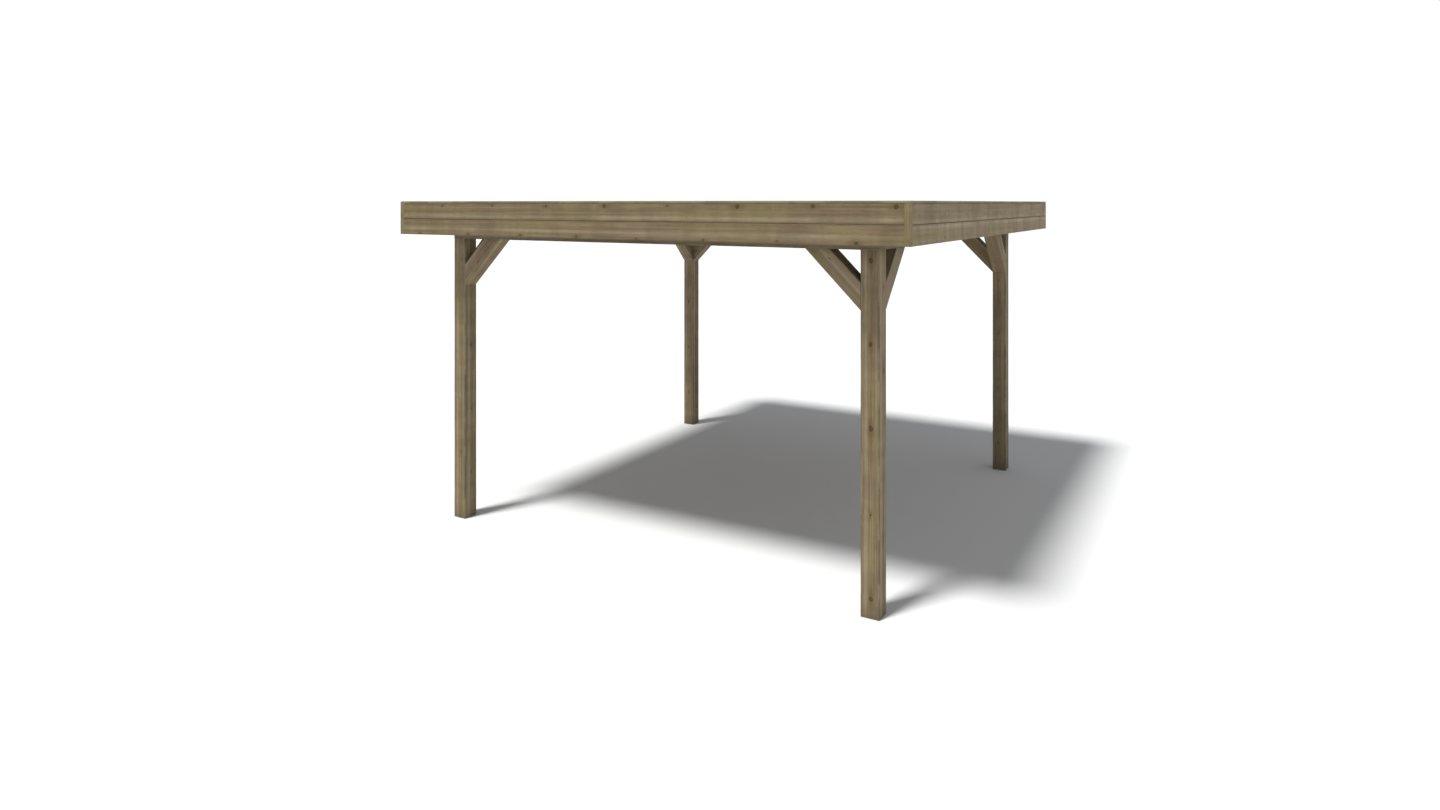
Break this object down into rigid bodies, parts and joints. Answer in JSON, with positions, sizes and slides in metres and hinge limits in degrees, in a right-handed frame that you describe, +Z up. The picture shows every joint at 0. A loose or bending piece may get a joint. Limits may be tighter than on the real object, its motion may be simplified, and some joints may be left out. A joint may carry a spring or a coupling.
{
  "type": "gazebo",
  "caption": "Open square timber gazebo: corner posts, 45-degree braces, ring beams, joisted flat roof and a deep boarded fascia.",
  "frame": {"origin": "on the ground at the middle of the plan, level with the feet of the posts", "axes": "+Z up, +Y to the back, +X to the right as seen from the front"},
  "size_m": [4.1, 4.1, 2.5],
  "materials": {
    "post_timber": "planed, pressure-treated softwood",
    "beam_timber": "planed, pressure-treated softwood",
    "joist_timber": "planed, pressure-treated softwood",
    "fascia_timber": "planed, pressure-treated softwood with eased edges",
    "cap_timber": "planed, pressure-treated softwood",
    "deck_boards": "planed tongued and grooved softwood boards",
    "membrane": "matt rubber roofing sheet"
  },
  "bodies": {
    "root": {"post_front_left": "post_timber", "post_front_right": "post_timber", "post_back_left": "post_timber", "post_back_right": "post_timber", "beam_front": "beam_timber", "beam_back": "beam_timber", "beam_left": "beam_timber", "beam_right": "beam_timber", "brace_front_left": "beam_timber", "brace_front_right": "beam_timber", "brace_back_left": "beam_timber", "brace_back_right": "beam_timber", "brace_left_front": "beam_timber", "brace_left_back": "beam_timber", "brace_right_front": "beam_timber", "brace_right_back": "beam_timber", "rafter_1": "joist_timber", "rafter_2": "joist_timber", "rafter_3": "joist_timber", "rafter_4": "joist_timber", "rafter_5": "joist_timber", "lookouts_left": "joist_timber", "lookouts_right": "joist_timber", "rim_front": "joist_timber", "rim_back": "joist_timber", "rim_left": "joist_timber", "rim_right": "joist_timber", "roof_deck": "deck_boards", "roof_membrane": "membrane", "fascia_front_upper": "fascia_timber", "fascia_front_lower": "fascia_timber", "fascia_back_upper": "fascia_timber", "fascia_back_lower": "fascia_timber", "fascia_left_upper": "fascia_timber", "fascia_left_lower": "fascia_timber", "fascia_right_upper": "fascia_timber", "fascia_right_lower": "fascia_timber", "batten_front_left": "fascia_timber", "batten_front_right": "fascia_timber", "batten_back_left": "fascia_timber", "batten_back_right": "fascia_timber", "cap_front": "cap_timber", "cap_back": "cap_timber", "cap_left": "cap_timber", "cap_right": "cap_timber"}
  },
  "joints": []
}
